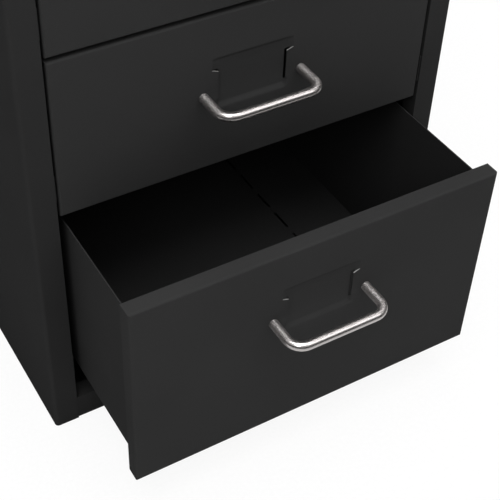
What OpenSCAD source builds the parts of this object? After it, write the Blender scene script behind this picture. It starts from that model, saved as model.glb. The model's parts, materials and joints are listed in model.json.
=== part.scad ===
// Small sheet-steel drawer cabinet: four shallow drawers over one deep drawer, which stands open.
// Millimetres. +Z is up and -Y is the front. The origin is on the floor, midway between the
// handle of the open drawer and the screw heads on the back.

/* [Cabinet] */
// Outside width
cab_w = 280; // [240:1:340]
// Depth from the front flanges to the back panel's outer face
cab_d = 410; // [380:1:480]
// Number of shallow drawers above the deep one
shallow_n = 4; // [1:1:5]
// Thickness of all sheet steel
sheet_t = 0.8; // [0.7:0.1:1]
// Outside radius of the large bends on the case
case_r = 2.5; // [1.5:0.1:4]
// Width of the front and back flanges of a side panel
flange_w = 16; // [14:0.5:20]
// Depth of the lip turned back from each flange
lip_d = 12; // [10:1:14]
// Height of the top panel's turned-down rim
top_h = 21; // [16:1:30]
// Height of the base rails
rail_h = 19; // [14:1:24]

/* [Drawers] */
// Height of a shallow drawer's front
shallow_h = 102; // [80:1:120]
// Height of the deep drawer's front
deep_h = 142; // [120:1:200]
// Gap between one drawer front and the next
front_gap = 2.5; // [2:0.5:6]
// Gap between a drawer front and the side flange
side_gap = 1.8; // [1.5:0.1:3]
// Height of the lowest drawer front above the floor
foot_gap = 31; // [28:1:40]
// Depth of the rim folded back around a drawer front
rim_d = 10; // [8:0.5:12]
// Outside radius of the drawer front's bends
front_r = 1.5; // [1.2:0.1:2]
// How far the drawer's side wall stands in from the front's edge
wall_in = 3.8; // [3.5:0.1:5]
// How far the drawer's floor lies above the front's lower edge
floor_up = 12; // [12:0.5:16]
// How far the drawer's walls end below the front's upper edge
wall_drop = 8; // [6:0.5:14]
// Length of a drawer's tray behind its front
tray_l = 384; // [350:1:384]
// How far the deep drawer stands open
pull = 84; // [0:1:250]

/* [Handle and label pocket] */
// Distance between the centres of the handle's feet
handle_cc = 64; // [64:1:96]
// Diameter of the handle's rod
rod_d = 6; // [5:0.5:8]
// Distance from the drawer front to the rod's centre line
handle_out = 24; // [20:1:30]
// Radius of the handle's bends, to the rod's centre line
handle_r = 9; // [6:0.5:12]
// Distance from the front's upper edge down to the handle
handle_down = 51; // [50:1:52]
// Width of the pressed tongue that backs the label
tongue_w = 43.2; // [40:0.2:46]
// Depth that the tongue is pressed in
tongue_in = 1.3; // [1:0.1:2.2]

/* [Slides] */
// How far a drawer pulls out from closed
travel = 300; // [260:5:300]
// Height of the channel that the glides run in
channel_h = 16.8; // [16.8:0.1:20]

/* [Hidden] */
drawer_n = shallow_n + 1;
hw = cab_w / 2;
side_d = cab_d - sheet_t;
front_w = cab_w - 2 * flange_w - 2 * side_gap;
tray_w = front_w - 2 * wall_in;
side_h = foot_gap + deep_h + shallow_n * (shallow_h + front_gap) + front_gap;
bend_fn = 32;
rod_fn = 48;
screw_fn = 24;
eps = 0.01;
hole_l = 4 * sheet_t;

// Flanges turned in along the top and bottom of the side panels and round the rails
flange_d = 12;
// Clearance where two sheet parts slide or nearly touch
play = 0.3;
// Gap between the end of a flange and the next bend
relief = 1;
// Height of the edges turned up round the bottom panel
bottom_lip_h = 11;
// Gap between the back panel and the ends of the case
back_gap = 3;

// Screws and rivets
screw_r = 1.9;
screw_hole_r = 2.2;
screw_head_r = 4;
screw_head_h = 2.2;
screw_x = hw - 7.5;
screw_edge = 60;
screw_ys = [screw_edge, side_d - screw_edge];
back_screw_n = 5;
back_screw_edge = 45;
back_screw_pitch = (side_h - 2 * back_screw_edge) / (back_screw_n - 1);
back_screw_zs = [for (k = [0:back_screw_n - 1]) back_screw_edge + k * back_screw_pitch];
top_shank_l = 6;
back_shank_l = 7;
foot_bore_r = 2;
foot_bore_l = 11;
rivet_r = 1.9;
rivet_hole_r = 2;
rivet_head_r = 3.2;
rivet_head_h = 1.2;
rivet_in = 6.5;

// Runner, seen along its length: a web on the flange's lip, a ledge below and a lip above
web_x = hw - flange_w;
ledge_w = 9.5;
upper_lip_w = 4.2;
channel_start = 14;
stop_t = 1.5;

// Glide: a nylon block near the back of each drawer side, pegged through the wall
glide_l = 22;
glide_h = 14;
glide_t = 3.8;
glide_up = 1.1;
glide_y = sheet_t + tray_l - 42;
peg_r = 2.9;
peg_hole_r = 3;
peg_head_r = 4.2;
peg_head_h = 1.2;
stop_front_y = glide_y - travel - play - stop_t;
stop_back_y = glide_y + glide_l + play;

// Row of slots along a drawer tray's floor, into which a lengthwise divider can be hooked
slot_l = 17.5;
slot_w = 1.8;
slot_pitch = 25;
slot_x = 68;
slot_start = 12;

// Label pocket, measured down from the front's upper edge
pocket_top = 27;
pocket_bottom = 61.8;
ramp_top = 3.4;
ramp_bottom = 3.4;
slit_w = 0.7;
slit_top = 36.05;
slit_bottom = 56.2;
hook_l = 5.85;
hook_turn = 72;
window_w = 54;
window_top = 24;
window_bottom = 66;

// The object's box reaches from the open drawer's handle to the screw heads on the back
front_y = (pull + handle_out + rod_d / 2 - cab_d - screw_head_h) / 2;

case_c = [0.16, 0.16, 0.17];
tray_c = [0.14, 0.14, 0.145];
front_c = [0.18, 0.18, 0.19];
bright_c = [0.78, 0.77, 0.75];
zinc_c = [0.6, 0.6, 0.58];
nylon_c = [0.1, 0.1, 0.1];

function front_h(i) = i == drawer_n ? deep_h : shallow_h;
function above_deep(i) = deep_h + front_gap + (shallow_n - i) * (shallow_h + front_gap);
function front_z(i) = foot_gap + (i == drawer_n ? 0 : above_deep(i));
function tray_h(i) = front_h(i) - floor_up - wall_drop;
function tray_z(i) = front_z(i) + floor_up;
function open_by(i) = i == drawer_n ? pull : 0;

// ---- Places and shared shapes ----

// Puts a shape that is drawn from the cabinet's front face where it belongs
module in_case() translate([0, front_y, 0]) children();

// Puts a shape that is drawn from a drawer front's lower edge where it belongs
module in_drawer(i) translate([0, front_y - open_by(i), front_z(i)]) children();

// Draws a left-hand shape on the side asked for: -1 is left, 1 is right
module on_side(side) mirror([side > 0 ? 1 : 0, 0, 0]) children();

module quarter_ring(r) {
    intersection() {
        difference() {
            circle(r, $fn = bend_fn);
            circle(r - sheet_t, $fn = bend_fn);
        }
        square(r);
    }
}

module soft_rect(w, h, r) {
    translate([r, 0]) square([w - 2 * r, h]);
    translate([0, r]) square([w, h - 2 * r]);
    for (x = [r, w - r], y = [r, h - r]) translate([x, y]) circle(r, $fn = bend_fn);
}

// A plate of thickness d whose edges round the front face are bent over with radius r
module soft_plate(w, h, d, r) {
    intersection() {
        translate([-w / 2, 0, 0]) linear_extrude(h) soft_rect(w, d + 2 * r, r);
        translate([-w / 2, 0, 0]) rotate([90, 0, 90]) linear_extrude(w) soft_rect(d + 2 * r, h, r);
        translate([-w, -eps, -h]) cube([2 * w, d + eps, 3 * h]);
    }
}

// A hole from just below z = 0 through one or two sheets, drawn upwards
module hole(r) translate([0, 0, -sheet_t]) cylinder(h = hole_l, r = r, $fn = screw_fn);

// A screw whose head sits on z = 0 and whose shank points to -z
module screw(shank_l) {
    cylinder(h = screw_head_h, r = screw_head_r, $fn = screw_fn);
    translate([0, 0, -shank_l]) cylinder(h = shank_l, r = screw_r, $fn = screw_fn);
}

// ---- Case ----

module side_section() {
    translate([-hw, case_r]) square([sheet_t, side_d - 2 * case_r]);
    translate([case_r - hw, case_r]) rotate(180) quarter_ring(case_r);
    translate([case_r - hw, side_d - case_r]) rotate(90) quarter_ring(case_r);
    for (y = [0, side_d - sheet_t]) translate([case_r - hw, y]) square([flange_w - case_r, sheet_t]);
}

module side_panel(side) {
    lip_z = rail_h + relief;
    return_y = lip_d + 3 * relief;
    color(case_c) in_case() on_side(side) difference() {
        union() {
            linear_extrude(side_h) side_section();
            for (y = [0, side_d - lip_d])
                translate([-web_x - sheet_t, y, lip_z]) cube([sheet_t, lip_d, side_h - lip_z]);
            translate([-hw, case_r, side_h - sheet_t])
                cube([flange_d + sheet_t, side_d - 2 * case_r, sheet_t]);
            translate([-hw, return_y, 0])
                cube([flange_d + sheet_t, side_d - 2 * return_y, sheet_t]);
        }
        for (y = screw_ys, z = [0, side_h - sheet_t]) translate([-screw_x, y, z]) hole(screw_hole_r);
        for (z = back_screw_zs) translate([-screw_x, side_d, z]) rotate([90, 0, 0]) hole(screw_hole_r);
        rivet_places() hole(rivet_hole_r);
    }
}

module side_panel_left() side_panel(-1);
module side_panel_right() side_panel(1);

// A tray turned upside down: soft edges round its flat top, rim hanging down
module top_shell(w, d, h, r) {
    intersection() {
        translate([-w / 2, 0, 0]) linear_extrude(h) soft_rect(w, d, r);
        translate([-w / 2, d, 0]) rotate([90, 0, 0]) linear_extrude(d)
            translate([0, -2 * r]) soft_rect(w, h + 2 * r, r);
        translate([-w / 2, 0, 0]) rotate([90, 0, 90]) linear_extrude(w)
            translate([0, -2 * r]) soft_rect(d, h + 2 * r, r);
    }
}

module top_panel() {
    color(case_c) in_case() translate([0, 0, side_h]) difference() {
        union() {
            difference() {
                top_shell(cab_w, cab_d, top_h, case_r);
                translate([0, sheet_t, -sheet_t])
                    top_shell(cab_w - 2 * sheet_t, cab_d - 2 * sheet_t, top_h, case_r - sheet_t);
            }
            for (side = [-1, 1]) on_side(side)
                translate([eps - hw, case_r, 0]) cube([flange_d + sheet_t, cab_d - 2 * case_r, sheet_t]);
        }
        for (x = [-screw_x, screw_x], y = screw_ys) translate([x, y, 0]) hole(screw_hole_r);
    }
}

module bottom_panel() {
    w = cab_w - 2 * sheet_t - play;
    y0 = lip_d + 2 * relief;
    d = side_d - 2 * y0;
    color(case_c) in_case() translate([-w / 2, y0, sheet_t]) difference() {
        union() {
            cube([w, d, sheet_t]);
            for (x = [0, w - sheet_t]) translate([x, 0, 0]) cube([sheet_t, d, bottom_lip_h]);
            for (y = [0, d - sheet_t]) translate([0, y, 0]) cube([w, sheet_t, bottom_lip_h]);
        }
        for (x = [w / 2 - screw_x, w / 2 + screw_x], y = screw_ys)
            translate([x, y - y0, 0]) hole(screw_hole_r);
    }
}

module back_panel() {
    w = cab_w - 2 * case_r - relief;
    color(case_c) in_case() difference() {
        translate([-w / 2, side_d, back_gap]) cube([w, sheet_t, side_h - 2 * back_gap]);
        for (x = [-screw_x, screw_x], z = back_screw_zs)
            translate([x, cab_d, z]) rotate([90, 0, 0]) hole(screw_hole_r);
    }
}

// A channel that lies behind the flanges at the foot of the case, open towards the inside
module base_rail() {
    w = cab_w - 2 * case_r - play;
    color(case_c) translate([-w / 2, sheet_t, 0]) {
        cube([w, sheet_t, rail_h]);
        for (z = [0, rail_h - sheet_t]) translate([0, 0, z]) cube([w, flange_d, sheet_t]);
    }
}

module base_rail_front() in_case() base_rail();
module base_rail_back() in_case() translate([0, side_d, 0]) mirror([0, 1, 0]) base_rail();

module top_screws() {
    color(zinc_c) in_case() for (x = [-screw_x, screw_x], y = screw_ys)
        translate([x, y, side_h - sheet_t]) mirror([0, 0, 1]) screw(top_shank_l);
}

module bottom_screws() {
    color(zinc_c) in_case() for (x = [-screw_x, screw_x], y = screw_ys)
        translate([x, y, 2 * sheet_t]) screw(2 * sheet_t);
}

module back_screws() {
    color(zinc_c) in_case() for (x = [-screw_x, screw_x], z = back_screw_zs)
        translate([x, cab_d, z]) rotate([-90, 0, 0]) screw(back_shank_l);
}

// ---- Runners ----

// The rivets' places on the inner face of the left-hand runner webs, pointing outwards
module rivet_places() {
    for (i = [1:drawer_n], y = [rivet_in, side_d - rivet_in])
        translate([sheet_t - web_x, y, tray_z(i) + channel_h / 2]) rotate([0, -90, 0]) children();
}

module runner(i, side) {
    ledge_z = tray_z(i) - play - sheet_t;
    web_h = channel_h + 2 * sheet_t;
    run_l = side_d - 2 * channel_start;
    web_y = sheet_t + play;
    color(case_c) in_case() on_side(side) difference() {
        translate([-web_x, 0, ledge_z]) {
            translate([0, web_y, 0]) cube([sheet_t, side_d - 2 * web_y, web_h]);
            translate([0, channel_start, 0]) cube([ledge_w, run_l, sheet_t]);
            translate([0, channel_start, web_h - sheet_t]) cube([upper_lip_w, run_l, sheet_t]);
            for (y = [stop_front_y, stop_back_y]) translate([0, y, 0]) cube([upper_lip_w, stop_t, web_h]);
        }
        rivet_places() hole(rivet_hole_r);
    }
}

// Flush in the runner's web, headed behind the flange's lip
module runner_rivets() {
    color(zinc_c) in_case() for (side = [-1, 1]) on_side(side) rivet_places() {
        cylinder(h = 2 * sheet_t, r = rivet_r, $fn = screw_fn);
        translate([0, 0, 2 * sheet_t]) cylinder(h = rivet_head_h, r = rivet_head_r, $fn = screw_fn);
    }
}

// ---- Drawers ----

// The tongue seen from the side: pressed in behind the face, with a ramp above and below
module tongue_section() {
    polygon([
        [0, -pocket_bottom], [tongue_in, ramp_bottom - pocket_bottom],
        [tongue_in, -pocket_top - ramp_top], [0, -pocket_top],
        [sheet_t, -pocket_top], [tongue_in + sheet_t, -pocket_top - ramp_top],
        [tongue_in + sheet_t, ramp_bottom - pocket_bottom], [sheet_t, -pocket_bottom]
    ]);
}

// The cut-out round the tongue: the pressed area, and a hooked slit at each side
module pocket_cut() {
    translate([-tongue_w / 2, -sheet_t, -pocket_bottom])
        cube([tongue_w, hole_l, pocket_bottom - pocket_top]);
    for (side = [-1, 1]) on_side(side) translate([-tongue_w / 2 - slit_w, -sheet_t, 0]) {
        translate([0, 0, -slit_bottom]) cube([slit_w + eps, hole_l, slit_bottom - slit_top]);
        translate([slit_w, 0, -slit_top]) rotate([0, -hook_turn, 0])
            translate([-slit_w, 0, -slit_w]) cube([slit_w, hole_l, hook_l]);
    }
}

// The places of a handle's feet on the front's face, pointing into the drawer
module foot_places(i) {
    for (x = [-handle_cc / 2, handle_cc / 2])
        translate([x, 0, front_h(i) - handle_down]) rotate([-90, 0, 0]) children();
}

module drawer_front(i) {
    h = front_h(i);
    color(front_c) in_drawer(i) {
        difference() {
            soft_plate(front_w, h, rim_d, front_r);
            translate([0, sheet_t, sheet_t])
                soft_plate(front_w - 2 * sheet_t, h - 2 * sheet_t, rim_d, front_r - sheet_t);
            translate([0, 0, h]) pocket_cut();
            foot_places(i) hole(screw_hole_r);
        }
        translate([-tongue_w / 2, 0, h]) rotate([90, 0, 90]) linear_extrude(tongue_w) tongue_section();
    }
}

// Slots from front to back through a tray's floor
module divider_slots() {
    for (y = [slot_start:slot_pitch:tray_l - slot_pitch]) translate([slot_x, y, -sheet_t])
        cube([slot_w, slot_l, hole_l]);
}

module drawer_tray(i) {
    h = tray_h(i);
    w = tray_w;
    l = tray_l;
    window_z = front_h(i) - floor_up;
    color(tray_c) in_drawer(i) translate([0, sheet_t, floor_up]) difference() {
        union() {
            translate([-w / 2, 0, 0]) cube([w, l, sheet_t]);
            for (x = [-w / 2, w / 2 - sheet_t]) translate([x, 0, 0]) cube([sheet_t, l, h]);
            for (y = [0, l - sheet_t]) translate([-w / 2, y, 0]) cube([w, sheet_t, h]);
        }
        translate([-window_w / 2, -sheet_t, window_z - window_bottom])
            cube([window_w, hole_l, window_bottom - window_top]);
        translate([0, 0, -floor_up]) foot_places(i) hole(screw_hole_r);
        for (side = [-1, 1]) on_side(side) glide_peg_place() hole(peg_hole_r);
        divider_slots();
    }
}

// On the outer face of the tray's left wall, pointing inwards, in the tray's own place
module glide_peg_place() {
    translate([-tray_w / 2, glide_y - sheet_t + glide_l / 2, glide_up + glide_h / 2])
        rotate([0, 90, 0]) children();
}

module drawer_glides(i) {
    color(nylon_c) in_drawer(i) translate([0, sheet_t, floor_up]) for (side = [-1, 1]) on_side(side) {
        translate([-tray_w / 2 - glide_t, glide_y - sheet_t, glide_up]) cube([glide_t, glide_l, glide_h]);
        glide_peg_place() {
            cylinder(h = sheet_t, r = peg_r, $fn = screw_fn);
            translate([0, 0, sheet_t]) cylinder(h = peg_head_h, r = peg_head_r, $fn = screw_fn);
        }
    }
}

// A bow of round rod: two legs, two bends and a bar, with a tapped bore in each foot
module handle(i) {
    straight = handle_cc / 2 - handle_r;
    leg = handle_out - handle_r;
    color(bright_c) in_drawer(i) translate([0, 0, front_h(i) - handle_down]) difference() {
        union() {
            translate([-straight, -handle_out, 0]) rotate([0, 90, 0])
                cylinder(h = 2 * straight, r = rod_d / 2, $fn = rod_fn);
            for (side = [-1, 1]) on_side(side) {
                translate([-handle_cc / 2, 0, 0]) rotate([90, 0, 0])
                    cylinder(h = leg, r = rod_d / 2, $fn = rod_fn);
                translate([-straight, -leg, 0]) rotate([0, 0, 180])
                    rotate_extrude(angle = 90, $fn = rod_fn)
                        translate([handle_r, 0]) circle(rod_d / 2, $fn = rod_fn);
            }
        }
        for (x = [-handle_cc / 2, handle_cc / 2]) translate([x, eps, 0]) rotate([90, 0, 0])
            cylinder(h = foot_bore_l, r = foot_bore_r, $fn = screw_fn);
    }
}

module handle_screws(i) {
    color(zinc_c) in_drawer(i) translate([0, 2 * sheet_t, 0]) foot_places(i)
        screw(foot_bore_l - relief);
}

// ---- Nodes ----

side_panel_left();
side_panel_right();
top_panel();
bottom_panel();
back_panel();
base_rail_front();
base_rail_back();
top_screws();
bottom_screws();
back_screws();
runner_rivets();
for (i = [1:drawer_n]) {
    runner(i, -1);
    runner(i, 1);
    drawer_front(i);
    drawer_tray(i);
    drawer_glides(i);
    handle(i);
    handle_screws(i);
}
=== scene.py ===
import json
import math

import bmesh
import bpy
from mathutils import Matrix, Vector


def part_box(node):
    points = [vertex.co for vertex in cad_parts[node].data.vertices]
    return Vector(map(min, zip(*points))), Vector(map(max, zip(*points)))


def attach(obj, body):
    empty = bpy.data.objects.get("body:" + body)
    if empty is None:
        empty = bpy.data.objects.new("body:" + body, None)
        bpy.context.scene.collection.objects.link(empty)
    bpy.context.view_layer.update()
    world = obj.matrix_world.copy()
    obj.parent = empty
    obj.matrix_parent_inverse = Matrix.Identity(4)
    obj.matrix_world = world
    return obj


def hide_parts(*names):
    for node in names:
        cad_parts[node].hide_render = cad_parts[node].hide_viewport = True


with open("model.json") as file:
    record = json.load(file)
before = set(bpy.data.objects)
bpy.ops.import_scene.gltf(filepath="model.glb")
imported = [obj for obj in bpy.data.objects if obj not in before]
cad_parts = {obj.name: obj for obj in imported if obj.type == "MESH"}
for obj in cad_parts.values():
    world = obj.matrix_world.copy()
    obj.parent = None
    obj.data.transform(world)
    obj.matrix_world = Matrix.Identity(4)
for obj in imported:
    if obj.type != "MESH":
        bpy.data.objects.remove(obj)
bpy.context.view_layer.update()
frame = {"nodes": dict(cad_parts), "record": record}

mm = 0.001
tiny = 1e-6     # lengths that differ by less count as equal
nodes = frame["nodes"]
bodies = frame["record"]["behaviour"]["bodies"]
bodyOf = {node: body for body, members in bodies.items() for node in members}
slotOf = {row["node"]: row["material_slot"] for row in frame["record"]["subparts"]}
drawerCount = sum(node.startswith("drawer_front_") for node in nodes)


# Materials

def fromHex(hexColour):
    channels = [int(hexColour[k:k + 2], 16) / 255 for k in (1, 3, 5)]
    linear = [c / 12.92 if c <= 0.04045 else ((c + 0.055) / 1.055) ** 2.4 for c in channels]
    return (*linear, 1)


# A settings or links key is a socket's name or number, or the name of a node property
def addNode(tree, kind, settings={}, links={}):
    node = tree.nodes.new("ShaderNode" + kind)
    for key, value in settings.items():
        if isinstance(key, int) or key in node.inputs:
            node.inputs[key].default_value = value
        else:
            setattr(node, key, value)
    for key, source in links.items():
        tree.links.new(source, node.inputs[key])
    return node


def startMaterial(name):
    material = bpy.data.materials.new(name)
    material.use_nodes = True
    tree = material.node_tree
    tree.nodes.clear()
    place = addNode(tree, "TexCoord").outputs["Object"]
    return material, tree, place


# A colour that runs from the look's dark tone to its pale one
def darkToPale(tree, look, source):
    tones = {"data_type": "RGBA", 6: fromHex(look["dark"]), 7: fromHex(look["pale"])}
    return addNode(tree, "Mix", tones, {0: source}).outputs[2]


# Noise whose marks are about the given number of millimetres wide
def noise(tree, width, detail, place):
    settings = {"Scale": 1 / (width * mm), "Detail": detail}
    return addNode(tree, "TexNoise", settings, {"Vector": place}).outputs["Fac"]


def roughnessFrom(tree, look, source):
    low, high = look["roughness"]
    return addNode(tree, "MapRange", {"To Min": low, "To Max": high}, {"Value": source}).outputs["Result"]


def finishMaterial(tree, settings, links):
    shader = addNode(tree, "BsdfPrincipled", settings, links)
    addNode(tree, "OutputMaterial", {}, {"Surface": shader.outputs["BSDF"]})


# Polyester powder, sprayed on and baked: a matt anthracite skin that scatters all its light, with
# soft orange peel and a speckle of coarser grains. All widths and depths here are in mm.
powderLook = {
    "dark": "#232323",
    "pale": "#2e2e2e",
    "start": -0.05,         # share of the pale tone before clouds and grains add to it
    "frontLift": 0.4,       # painted light: what the fronts add to the pale share, drawing the same powder paler than on the case for the light their faces catch
    "cloud": 60,            # size of the faint patches of thicker and thinner powder
    "cloudShare": 0.5,
    "grain": 0.5,           # real grains are under 0.1 mm, drawn coarser so that they show
    "grainShare": 0.6,
    "grainDepth": 0.004,
    "peel": 1.8,            # spacing of the orange peel
    "peelDepth": 0.008,
    "roughness": (0.6, 0.72),
    "mirror": 0.0,          # the matt skin mirrors nothing
}


def powderCoat(name, look, lift=0.0):
    material, tree, place = startMaterial(name)
    cloud = noise(tree, look["cloud"], 3, place)
    grain = noise(tree, look["grain"], 2, place)
    peel = noise(tree, look["peel"], 1, place)
    speckle = addNode(tree, "Math", {"operation": "MULTIPLY_ADD", 1: look["grainShare"],
                                     2: lift + look["start"]}, {0: grain})
    patchy = addNode(tree, "Math", {"operation": "MULTIPLY_ADD", 1: look["cloudShare"]},
                     {0: cloud, 2: speckle.outputs[0]})
    fine = addNode(tree, "Bump", {"Distance": look["grainDepth"] * mm, "Strength": 1.0}, {"Height": grain})
    soft = addNode(tree, "Bump", {"Distance": look["peelDepth"] * mm, "Strength": 1.0},
                   {"Height": peel, "Normal": fine.outputs["Normal"]})
    finishMaterial(tree, {"Specular IOR Level": look["mirror"]},
                   {"Base Color": darkToPale(tree, look, patchy.outputs[0]),
                    "Roughness": roughnessFrom(tree, look, peel), "Normal": soft.outputs["Normal"]})
    return material


# Nickel plated on drawn and polished rod: warm grey metal with a clear mirror image between fine
# satin streaks. The drawing marks smear the satin haze along the rod, which keeps its legs light.
nickelLook = {
    "dark": "#c0bbb9",
    "pale": "#d0cccb",
    "streak": 0.08,             # width of the streaks, mm; real ones are finer
    "streakRun": 12,            # how much longer than wide a streak is
    "patch": 6,                 # how much wider than a streak the duller patches are
    "roughness": (0.05, 0.8),   # of the mirror-bright and of the satin streaks
    "contrast": (0.46, 0.58),   # levels of the pattern between which one turns into the other
    "smear": 0.7,               # how far the haze is drawn out along the rod
    "depth": 0.001,
}


def nickelPlate(name, look):
    material, tree, place = startMaterial(name)
    wide = look["streak"] * mm
    unrolled = addNode(tree, "UVMap", {"uv_map": "rod"}).outputs["UV"]
    fit = (1 / (look["streakRun"] * wide), 1 / wide, 1)
    along = addNode(tree, "Mapping", {"Scale": fit}, {"Vector": unrolled})
    streak = addNode(tree, "TexNoise", {"Scale": 1, "Detail": 2}, {"Vector": along.outputs["Vector"]})
    low, high = look["contrast"]
    bright, satin = look["roughness"]
    turn = {"From Min": low, "From Max": high, "To Min": bright, "To Max": satin}
    rough = addNode(tree, "MapRange", turn, {"Value": streak.outputs["Fac"]})
    bump = addNode(tree, "Bump", {"Distance": look["depth"] * mm}, {"Height": streak.outputs["Fac"]})
    lengthways = addNode(tree, "Tangent", {"direction_type": "UV_MAP", "uv_map": "rod"})
    patches = noise(tree, look["patch"] * look["streak"], 2, place)
    finishMaterial(tree, {"Metallic": 1, "Anisotropic": look["smear"]},
                   {"Base Color": darkToPale(tree, look, patches), "Roughness": rough.outputs["Result"],
                    "Normal": bump.outputs["Normal"], "Tangent": lengthways.outputs["Tangent"]})
    return material


# Bright zinc plate with a clear passivation: pale, slightly bluish and mottled
zincLook = {"pale": "#b4b7b8", "dark": "#8f9396", "spangle": 1.2, "roughness": (0.28, 0.42)}


def zincPlate(name, look):
    material, tree, place = startMaterial(name)
    spangle = addNode(tree, "TexVoronoi", {"Scale": 1 / (look["spangle"] * mm)}, {"Vector": place})
    finishMaterial(tree, {"Metallic": 1},
                   {"Base Color": darkToPale(tree, look, spangle.outputs["Color"]),
                    "Roughness": roughnessFrom(tree, look, spangle.outputs["Distance"])})
    return material


# Painted highlight: a dull, slightly mottled pale grey on the cut lips of the pocket's hooks, standing in
# for the glint their rounded edges catch
lipGlintLook = {"pale": "#8e8e8c", "dark": "#747474", "drag": 0.2, "roughness": (0.7, 0.8)}


def paintedLipGlint(name, look):
    material, tree, place = startMaterial(name)
    drag = noise(tree, look["drag"], 2, place)
    finishMaterial(tree, {}, {"Base Color": darkToPale(tree, look, drag),
                              "Roughness": roughnessFrom(tree, look, drag)})
    return material


# Injection-moulded nylon: black, with a fine satin texture from the mould
nylonLook = {
    "dark": "#141414",
    "pale": "#1d1d1e",
    "texture": 0.3,         # spacing of the texture, mm
    "depth": 0.01,
    "roughness": (0.42, 0.55),
    "ior": 1.53,
}


def mouldedNylon(name, look):
    material, tree, place = startMaterial(name)
    texture = noise(tree, look["texture"], 2, place)
    bump = addNode(tree, "Bump", {"Distance": look["depth"] * mm}, {"Height": texture})
    finishMaterial(tree, {"IOR": look["ior"]},
                   {"Base Color": darkToPale(tree, look, texture),
                    "Roughness": roughnessFrom(tree, look, texture), "Normal": bump.outputs["Normal"]})
    return material


finishes = {
    "case_paint": powderCoat("anthracitePowderCoatCase", powderLook),
    # The fronts get the same powder drawn paler: painted light for the light their faces catch
    "drawer_front_paint": powderCoat("anthracitePowderCoatFronts", powderLook, powderLook["frontLift"]),
    "drawer_tray_paint": powderCoat("anthracitePowderCoatTrays", powderLook),
    "bright_rod": nickelPlate("nickelPlatedRod", nickelLook),
    "zinc_fasteners": zincPlate("brightZincPlate", zincLook),
    "nylon": mouldedNylon("mouldedBlackNylon", nylonLook),
}
# Pale grey for the lips of the hooks: a painted highlight standing in for their glint
hookLipGlint = paintedLipGlint("paleHookLipGlint", lipGlintLook)
print("materials made")


# Helpers for the pieces

def pieceName(node):
    first, *rest = node.split("_")
    return first + "".join(word.capitalize() for word in rest)


# The mesh becomes the piece that stands for a node: its finish, body and place are the node's
def takePlace(node, mesh):
    piece = bpy.data.objects.new(pieceName(node), mesh)
    bpy.context.scene.collection.objects.link(piece)
    mesh.materials.append(finishes[slotOf[node]])
    for face in mesh.polygons:
        face.use_smooth = True
    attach(piece, bodyOf[node])
    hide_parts(node)
    return piece


def toMesh(name, shape):
    mesh = bpy.data.meshes.new(name)
    shape.to_mesh(mesh)
    shape.free()
    return mesh


# At full weight the large faces alone decide the shading, so flats stay flat beside rounded edges
fullWeight = 100


def keepFlatsFlat(piece):
    piece.modifiers.new("flatFaces", "WEIGHTED_NORMAL").weight = fullWeight


def smoothStep(t):
    t = min(max(t, 0), 1)
    return t * t * (3 - 2 * t)


# Folded sheet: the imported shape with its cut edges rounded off, as paint leaves them

sheetEdge = {
    "round": 0.2,           # mm
    "steps": 2,
    "sharpFrom": 40,        # degrees from which an edge is rounded
    "weld": 0.002,          # vertices nearer than this are one, mm
    "flat": 0.5,            # degrees up to which faces are merged
}


def foldedSheet(node, look):
    shape = bmesh.new()
    shape.from_mesh(nodes[node].data)
    bmesh.ops.remove_doubles(shape, verts=shape.verts, dist=look["weld"] * mm)
    bmesh.ops.dissolve_limit(shape, angle_limit=math.radians(look["flat"]), verts=shape.verts,
                             edges=shape.edges)
    sharp = [edge for edge in shape.edges if edge.calc_face_angle(0) > math.radians(look["sharpFrom"])]
    bmesh.ops.bevel(shape, geom=sharp, offset=look["round"] * mm, segments=look["steps"], profile=0.5,
                    affect="EDGES", clamp_overlap=True)
    keepFlatsFlat(takePlace(node, toMesh(node, shape)))


caseSheets = ["side_panel_left", "side_panel_right", "top_panel", "bottom_panel", "back_panel",
              "base_rail_front", "base_rail_back"]
for drawer in range(1, drawerCount + 1):
    caseSheets += [f"runner_left_{drawer}", f"runner_right_{drawer}", f"drawer_tray_{drawer}"]
for node in caseSheets:
    foldedSheet(node, sheetEdge)
print("folded sheets made")


# Drawer fronts: a pan of sheet, folded back all round, with a label pocket pressed into its face.
# The tongue of the pocket is cut free at both sides by a slit that hooks outwards at its upper end.
# All lengths in the dictionaries of fronts, handles and screws are in mm.

frontLook = {
    "sheet": 0.8,
    "bend": 1.5,            # outside radius of the folds
    "bendSteps": 6,
    "edge": 0.2,            # rounding of cut edges
    "edgeSteps": 2,
    "sharpFrom": 55,        # degrees from which an edge is rounded
}
pocketLook = {
    "top": 27.2,            # all heights are measured down from the front's upper edge
    "bottom": 61.8,
    "step": (2.3, 1.3),     # height and depth of the step at the top of the press
    "rampTop": 7,           # height over which it then reaches its full depth
    "rampBottom": 3.6,
    "depth": 1.8,
    "half": 21.6,           # half the tongue's width
    "halfTop": 26.4,        # half the pressed width above the hooks
    "sideEnd": 27,          # where the press fades out beside the middle, and over which run
    "sideRun": 4.5,
    "slit": 0.7,            # width of the cut
    "slitBottom": 56.2,
    "inner": (34.6, 36.2),  # heights at which the inner edge of a hook ends and begins
    "outer": (35.1, 36.6),  # the same for its outer edge
    "hookEnd": 26.7,
    "leastGap": 0.03,       # what stays between the edges of the cut at the end of a hook
    "blend": 2,             # how far the press pulls the face beside it
    "release": 1.6,         # how soon the face is flush again beside a slit
    "reach": 36,            # half the width that is meshed finely
    "overlap": 3,           # how far the fine mesh goes on above and below the pocket
    "rowStep": 0.6,
    "tongueColumns": 14,    # columns of mesh in half a tongue, and beside it
    "sideColumns": 12,
}


def between(value, fromRange, toRange):
    share = (value - fromRange[0]) / (fromRange[1] - fromRange[0])
    return toRange[0] + min(max(share, 0), 1) * (toRange[1] - toRange[0])


# The edges of the pressed area and of the cut beside it, as distances from the middle
def innerEdge(down, look):
    return between(down, look["inner"], (look["halfTop"], look["half"]))


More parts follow.
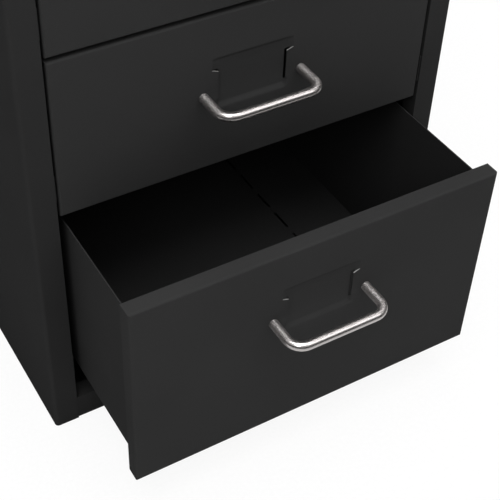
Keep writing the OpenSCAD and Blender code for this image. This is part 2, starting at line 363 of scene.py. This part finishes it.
def outerEdge(down, look):
    hookTop = (look["inner"][0], look["outer"][0])
    opening = between(down, hookTop, (look["halfTop"] + look["leastGap"], look["hookEnd"]))
    hook = between(down, look["outer"], (look["hookEnd"], look["half"] + look["slit"]))
    return max(min(hook, opening), innerEdge(down, look) + look["leastGap"])


def pressDepth(across, down, look):
    stepHeight, stepDepth = look["step"]
    fromTop = down - look["top"]
    entry = stepDepth * smoothStep(fromTop / stepHeight)
    entry += (look["depth"] - stepDepth) * smoothStep((fromTop - stepHeight / 2) / look["rampTop"])
    depth = min(entry, look["depth"] * smoothStep((look["bottom"] - down) / look["rampBottom"]))
    depth *= smoothStep((look["sideEnd"] - abs(across)) / look["sideRun"])
    beside = abs(across) - innerEdge(down, look)
    if beside <= tiny:
        return depth
    fromEnd = min(down - look["inner"][0], look["slitBottom"] - down)
    held = 1 - smoothStep(fromEnd / look["release"])
    return depth * held * (1 - smoothStep(beside / look["blend"]))


def steps(start, end, count):
    return [start + (end - start) * k / count for k in range(count + 1)]


def foldDepth(fromEdge, bend):
    if fromEdge >= bend:
        return 0
    return bend - math.sqrt(max(0, bend ** 2 - (bend - fromEdge) ** 2))


# Distances from one edge at which the folded margin is meshed
def foldLines(look):
    angles = steps(0, math.pi / 2, look["bendSteps"])
    return [look["bend"] * (1 - math.cos(angle)) for angle in angles]


def frontRows(height, sheet, pocket):
    margin = foldLines(sheet)
    start, end = pocket["top"] - pocket["overlap"], pocket["bottom"] + pocket["overlap"]
    fine = steps(start, end, round((end - start) / pocket["rowStep"]))
    for mark in (*pocket["inner"], *pocket["outer"], pocket["slitBottom"]):
        nearest = min(range(len(fine)), key=lambda k: abs(fine[k] - mark))
        fine[nearest] = mark
    return margin + fine + [height - line for line in reversed(margin)]


# Places across the front; the lines beside the pocket follow its edge
def frontColumns(down, width, sheet, pocket):
    right = steps(0, innerEdge(down, pocket), pocket["tongueColumns"])[1:]
    right += steps(outerEdge(down, pocket), pocket["reach"], pocket["sideColumns"])
    right += [width / 2 - line for line in reversed(foldLines(sheet))]
    return [-x for x in reversed(right)] + [0] + right


def drawerFront(drawer, sheet, pocket):
    node = f"drawer_front_{drawer}"
    low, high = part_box(node)
    width = (high.x - low.x) / mm
    height = (high.z - low.z) / mm
    rows = frontRows(height, sheet, pocket)
    shape = bmesh.new()
    grid = []
    for down in rows:
        line = []
        for x in frontColumns(down, width, sheet, pocket):
            fold = max(foldDepth(width / 2 - abs(x), sheet["bend"]),
                       foldDepth(min(down, height - down), sheet["bend"]))
            inwards = fold + pressDepth(x, down, pocket)
            line.append(shape.verts.new((x * mm, low.y + inwards * mm, high.z - down * mm)))
        grid.append(line)
    middle = len(grid[0]) // 2
    slitColumns = (middle + pocket["tongueColumns"], middle - pocket["tongueColumns"] - 1)
    lipColumns = (slitColumns[0] + 1, slitColumns[1] - 1)
    for r in range(len(rows) - 1):
        cutRow = pocket["inner"][0] - tiny <= rows[r] and rows[r + 1] <= pocket["slitBottom"] + tiny
        lipRow = pocket["outer"][0] - tiny <= rows[r] and rows[r + 1] <= pocket["outer"][1] + tiny
        for c in range(len(grid[0]) - 1):
            if cutRow and c in slitColumns:
                continue
            face = shape.faces.new((grid[r][c], grid[r + 1][c], grid[r + 1][c + 1], grid[r][c + 1]))
            face.material_index = int(lipRow and c in lipColumns)
    shape.normal_update()
    rim = [edge for edge in shape.edges if edge.is_boundary
           and all(abs(v.co.y - low.y - sheet["bend"] * mm) < tiny for v in edge.verts)]
    turned = bmesh.ops.extrude_edge_only(shape, edges=rim)["geom"]
    for vert in (part for part in turned if isinstance(part, bmesh.types.BMVert)):
        vert.co.y = high.y
    bmesh.ops.recalc_face_normals(shape, faces=shape.faces)
    piece = takePlace(node, toMesh(node, shape))
    # Slots: paint on the sheet, paint on its cut edges, and a pale painted highlight on the lips of the
    # hooks
    piece.data.materials.append(finishes[slotOf[node]])
    piece.data.materials.append(hookLipGlint)
    thick = piece.modifiers.new("sheetThickness", "SOLIDIFY")
    thick.thickness = sheet["sheet"] * mm
    thick.offset = -1
    thick.use_even_offset = True
    thick.material_offset_rim = 1
    edge = piece.modifiers.new("cutEdges", "BEVEL")
    edge.width = sheet["edge"] * mm
    edge.segments = sheet["edgeSteps"]
    edge.limit_method = "ANGLE"
    edge.angle_limit = math.radians(sheet["sharpFrom"])
    keepFlatsFlat(piece)


for drawer in range(1, drawerCount + 1):
    drawerFront(drawer, frontLook, pocketLook)
print("drawer fronts made")


# Handles: a bow bent from one length of round rod

rodLook = {
    "bend": 9,              # radius of a bend, to the rod's centre line
    "bendSteps": 14,
    "barSteps": 12,         # along half of the straight bar
    "around": 40,           # corners of the rod's section
    "footRound": 0.35,      # bevel round the foot of a leg
}


def handle(drawer, look):
    node = f"handle_{drawer}"
    low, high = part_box(node)
    radius = (high.z - low.z) / 2
    bend = look["bend"] * mm
    foot = (high.x - low.x) / 2 - radius
    out = low.y + radius
    z = (low.z + high.z) / 2
    footRound = look["footRound"] * mm
    # Centre line as (x, y, direction), from the left foot round to the right one
    line = [(-foot, high.y, 0), (-foot, high.y - footRound, 0)]
    for angle in steps(0, math.pi / 2, look["bendSteps"]):
        line.append((-foot + bend * (1 - math.cos(angle)), out + bend * (1 - math.sin(angle)), angle))
    line += [(x, out, math.pi / 2) for x in steps(-foot + bend, 0, look["barSteps"])[1:]]
    line += [(-x, y, math.pi - angle) for x, y, angle in reversed(line[:-1])]
    shape = bmesh.new()
    unrolled = shape.loops.layers.uv.new("rod")
    rings = []
    for k, (x, y, angle) in enumerate(line):
        size = radius - footRound if k in (0, len(line) - 1) else radius
        side = Vector((-math.cos(angle), -math.sin(angle), 0))
        ring = []
        for turn in range(look["around"]):
            around = 2 * math.pi * turn / look["around"]
            offset = size * (math.cos(around) * side + math.sin(around) * Vector((0, 0, 1)))
            ring.append(shape.verts.new(Vector((x, y, z)) + offset))
        rings.append(ring)
    run = 0
    opposite = look["around"] // 2
    for one, other in zip(rings, rings[1:]):
        length = (other[0].co + other[opposite].co - one[0].co - one[opposite].co).length / 2
        for turn in range(look["around"]):
            after = (turn + 1) % look["around"]
            face = shape.faces.new((one[turn], one[after], other[after], other[turn]))
            spots = ((run, turn), (run, turn + 1), (run + length, turn + 1), (run + length, turn))
            for corner, (u, v) in zip(face.loops, spots):
                corner[unrolled].uv = (u, 2 * math.pi * radius * v / look["around"])
        run += length
    shape.faces.new(rings[0])
    shape.faces.new(rings[-1])
    bmesh.ops.recalc_face_normals(shape, faces=shape.faces)
    keepFlatsFlat(takePlace(node, toMesh(node, shape)))


for drawer in range(1, drawerCount + 1):
    handle(drawer, rodLook)
print("handles made")


# Screws: pan heads with a cross recess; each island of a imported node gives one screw

screwLook = {
    "around": 32,
    "headHeight": 2.2,
    "rings": 12,            # rings of mesh from the middle of the head to its edge
    "dome": 0.75,           # how far the head drops towards its edge
    "edgeDrop": 0.36,       # how much further it drops in its rounded edge
    "edgeFrom": 0.85,       # share of the head's radius at which that edge starts
    "shank": 1.9,           # radius
    "chamfer": 0.3,         # at the end of the shank
    "recess": 1.3,          # depth of the cross
    "recessReach": 2.1,     # how far an arm of the cross runs from the middle
    "recessArm": 0.55,      # half the width of an arm
    "recessWall": 0.3,      # width over which its walls slope
}


def islandBoxes(node):
    shape = bmesh.new()
    shape.from_mesh(nodes[node].data)
    bmesh.ops.remove_doubles(shape, verts=shape.verts, dist=sheetEdge["weld"] * mm)
    left = set(shape.verts)
    while left:
        island, waiting = set(), [left.pop()]
        while waiting:
            vert = waiting.pop()
            island.add(vert)
            near = {other for link in vert.link_edges for other in link.verts} & left
            left -= near
            waiting += near
        spots = [vert.co.copy() for vert in island]
        yield (Vector(map(min, zip(*spots))), Vector(map(max, zip(*spots))))
    shape.free()


def recessDepth(x, y, look):
    arms = max(min(look["recessReach"] - abs(x), look["recessArm"] - abs(y)),
               min(look["recessReach"] - abs(y), look["recessArm"] - abs(x)))
    return look["recess"] * smoothStep(arms / look["recessWall"])


def headDrop(share, look):
    edge = max(0, share - look["edgeFrom"]) / (1 - look["edgeFrom"])
    return look["dome"] * share ** 2 + look["edgeDrop"] * edge ** 2


def screws(node, axis, look):
    shape = bmesh.new()
    axis = Vector(axis)
    turnTo = Vector((0, 0, 1)).rotation_difference(axis).to_matrix()
    for low, high in sorted(islandBoxes(node), key=lambda box: tuple(box[0])):
        size = high - low
        length = abs(size.dot(axis)) / mm
        across = (size - abs(size.dot(axis)) * Vector(map(abs, axis))).length / math.sqrt(2) / mm
        top = (low + high) / 2 + axis * length * mm / 2
        headR = across / 2
        shares = steps(0, 1, look["rings"])
        rings = [(headR * share, -headDrop(share, look), True) for share in shares]
        rings.append((headR, -look["headHeight"], False))
        rings.append((look["shank"], -look["headHeight"], False))
        rings.append((look["shank"], -length + look["chamfer"], False))
        rings.append((look["shank"] - look["chamfer"], -length, False))
        made = []
        # Each ring is a radius, a height and whether it belongs to the top of the head
        for r, h, onHead in rings:
            if r == 0:
                spots = [(0, 0)]
            else:
                spots = [(r * math.cos(2 * math.pi * t / look["around"]),
                          r * math.sin(2 * math.pi * t / look["around"])) for t in range(look["around"])]
            ring = []
            for x, y in spots:
                sunk = recessDepth(x, y, look) if onHead else 0
                ring.append(shape.verts.new(top + turnTo @ Vector((x, y, h - sunk)) * mm))
            made.append(ring)
        for t in range(look["around"]):
            after = (t + 1) % look["around"]
            shape.faces.new((made[0][0], made[1][t], made[1][after]))
        for one, other in zip(made[1:], made[2:]):
            for t in range(look["around"]):
                after = (t + 1) % look["around"]
                shape.faces.new((one[t], other[t], other[after], one[after]))
        shape.faces.new(made[-1])
    bmesh.ops.recalc_face_normals(shape, faces=shape.faces)
    keepFlatsFlat(takePlace(node, toMesh(node, shape)))


screws("top_screws", (0, 0, -1), screwLook)
screws("bottom_screws", (0, 0, 1), screwLook)
screws("back_screws", (0, 1, 0), screwLook)
for drawer in range(1, drawerCount + 1):
    screws(f"handle_screws_{drawer}", (0, 1, 0), screwLook)

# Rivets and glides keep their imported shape
for node in ["runner_rivets"] + [f"drawer_glides_{drawer}" for drawer in range(1, drawerCount + 1)]:
    nodes[node].data.materials.clear()
    nodes[node].data.materials.append(finishes[slotOf[node]])
print("fasteners and glides made")


# Studio: a floor and an even surround that the camera sees as white, and four soft lamps

studio = {
    "ambient": 0.35,                # level of the surround's light on matt surfaces
    "horizon": 0.02,                # what a reflection shows at the horizon, and high above it
    "overhead": 0.5,
    "rise": (0.2, 0.7),             # the sines of the heights between which it brightens
    "floorSize": 12,                # m
    "floor": "#b8b8b8",             # the card as the lamps light it, in its darkest fibres
    "fibre": 2.5,                   # mm
    "floorGlow": 0.92,              # share of plain white in what the camera sees of the floor
    "floorMirrored": (0.9, 0.03),   # level of the floor in a reflection, nearby and further off
    "floorFade": (0.5, 0.75),       # the distances between which it changes, m
}
# A plain lamp lights the object without showing in reflections
lamps = {
    "overhead": {"place": (-0.2, -0.4, 2.3), "aim": (0, -0.1, 0.2), "size": 2.2, "power": 66},
    "right": {"place": (1.0, -1.5, 1.75), "aim": (0, -0.2, 0.2), "size": 1.3, "power": 8},
    "left": {"place": (-1.4, -1.6, 1.9), "aim": (0, -0.1, 0.2), "size": 1.4, "power": 15},
    "behind": {"place": (0.3, 1.8, 1.6), "aim": (0, 0.1, 0.3), "size": 1.4, "power": 18, "plain": True},
}


# 1 for rays that come straight from the camera or through something clear, else 0
def seenDirectly(tree, rays):
    return addNode(tree, "Math", {"operation": "MAXIMUM"},
                   {0: rays["Is Camera Ray"], 1: rays["Is Transmission Ray"]}).outputs[0]


# The surround is pure white to the camera; in a reflection it darkens towards the horizon,
# as a room does round a lit table
def studioWorld(look):
    world = bpy.data.worlds.new("studioSurround")
    bpy.context.scene.world = world
    world.use_nodes = True
    tree = world.node_tree
    tree.nodes.clear()
    rays = addNode(tree, "LightPath").outputs
    direction = addNode(tree, "TexCoord").outputs["Generated"]
    height = addNode(tree, "SeparateXYZ", {}, {"Vector": direction}).outputs["Z"]
    low, high = look["rise"]
    climb = {"interpolation_type": "SMOOTHSTEP", "From Min": low, "From Max": high,
             "To Min": look["horizon"], "To Max": look["overhead"]}
    mirrored = addNode(tree, "MapRange", climb, {"Value": height})
    indirect = addNode(tree, "Mix", {2: look["ambient"]},
                       {0: rays["Is Glossy Ray"], 3: mirrored.outputs["Result"]})
    level = addNode(tree, "Mix", {3: 1.0}, {0: seenDirectly(tree, rays), 2: indirect.outputs[0]})
    glow = addNode(tree, "Background", {"Color": (1, 1, 1, 1)}, {"Strength": level.outputs[0]})
    addNode(tree, "OutputWorld", {}, {"Surface": glow.outputs["Background"]})


def studioFloor(look):
    mesh = bpy.data.meshes.new("floor")
    half = look["floorSize"] / 2
    corners = [(-half, -half, 0), (half, -half, 0), (half, half, 0), (-half, half, 0)]
    mesh.from_pydata(corners, [], [(0, 1, 2, 3)])
    floor = bpy.data.objects.new("floor", mesh)
    bpy.context.scene.collection.objects.link(floor)
    # Matt card: the camera sees it as near white with a soft shadow, while the lamps find it grey
    # enough that little of their light comes back up from it
    material, tree, place = startMaterial("whiteCard")
    fibre = addNode(tree, "TexNoise", {"Scale": 1 / (look["fibre"] * mm)}, {"Vector": place})
    colour = addNode(tree, "Mix", {"data_type": "RGBA", 6: fromHex(look["floor"]), 7: (1, 1, 1, 1)},
                     {0: fibre.outputs["Fac"]})
    matt = addNode(tree, "BsdfDiffuse", {}, {"Color": colour.outputs[2]})
    rays = addNode(tree, "LightPath").outputs
    direct = seenDirectly(tree, rays)
    start, end = look["floorFade"]
    near, far = look["floorMirrored"]
    away = addNode(tree, "VectorMath", {"operation": "LENGTH"}, {0: place})
    faded = addNode(tree, "MapRange", {"From Min": start, "From Max": end, "To Min": near, "To Max": far},
                    {"Value": away.outputs["Value"]})
    strength = addNode(tree, "Mix", {3: 1.0}, {0: direct, 2: faded.outputs["Result"]})
    glow = addNode(tree, "Emission", {"Color": (1, 1, 1, 1)}, {"Strength": strength.outputs[0]})
    plain = addNode(tree, "Math", {"operation": "MULTIPLY", 1: look["floorGlow"]}, {0: direct})
    share = addNode(tree, "Math", {"operation": "MAXIMUM"},
                    {0: plain.outputs[0], 1: rays["Is Glossy Ray"]})
    both = addNode(tree, "MixShader", {},
                   {0: share.outputs[0], 1: matt.outputs["BSDF"], 2: glow.outputs["Emission"]})
    addNode(tree, "OutputMaterial", {}, {"Surface": both.outputs["Shader"]})
    mesh.materials.append(material)


def lamp(name, look):
    light = bpy.data.lights.new(name, "AREA")
    light.shape = "DISK"
    light.size = look["size"]
    light.energy = look["power"]
    holder = bpy.data.objects.new(name, light)
    bpy.context.scene.collection.objects.link(holder)
    holder.visible_glossy = not look.get("plain", False)
    holder.location = look["place"]
    towards = Vector(look["aim"]) - Vector(look["place"])
    holder.rotation_euler = towards.to_track_quat("-Z", "Y").to_euler()


studioWorld(studio)
studioFloor(studio)
for name, look in lamps.items():
    lamp(name, look)


# Camera: above and to the left of the open drawer

view = {
    "place": (-0.28699, -0.6076, 0.60128),
    "turn": 31.124,             # degrees to the right of straight at the fronts
    "drop": 42.016,             # degrees below level
    "roll": 1.725,
    "lens": 82.514,             # mm, as is the sensor's width
    "sensor": 36,
    "shift": (0.03695, -0.04594),
    "nearest": 0.01,            # m from which it draws things
}


def aimCamera(look):
    camera = bpy.data.objects.new("camera", bpy.data.cameras.new("camera"))
    bpy.context.scene.collection.objects.link(camera)
    camera.data.sensor_width = look["sensor"]
    camera.data.lens = look["lens"]
    camera.data.shift_x, camera.data.shift_y = look["shift"]
    camera.data.clip_start = look["nearest"]
    turn = Matrix.Rotation(math.radians(-look["turn"]), 4, "Z")
    tilt = Matrix.Rotation(math.radians(90 - look["drop"]), 4, "X")
    roll = Matrix.Rotation(math.radians(look["roll"]), 4, "Z")
    camera.matrix_world = Matrix.Translation(look["place"]) @ turn @ tilt @ roll
    bpy.context.scene.camera = camera


aimCamera(view)
bpy.context.scene.view_settings.view_transform = "Standard"
print("studio made")
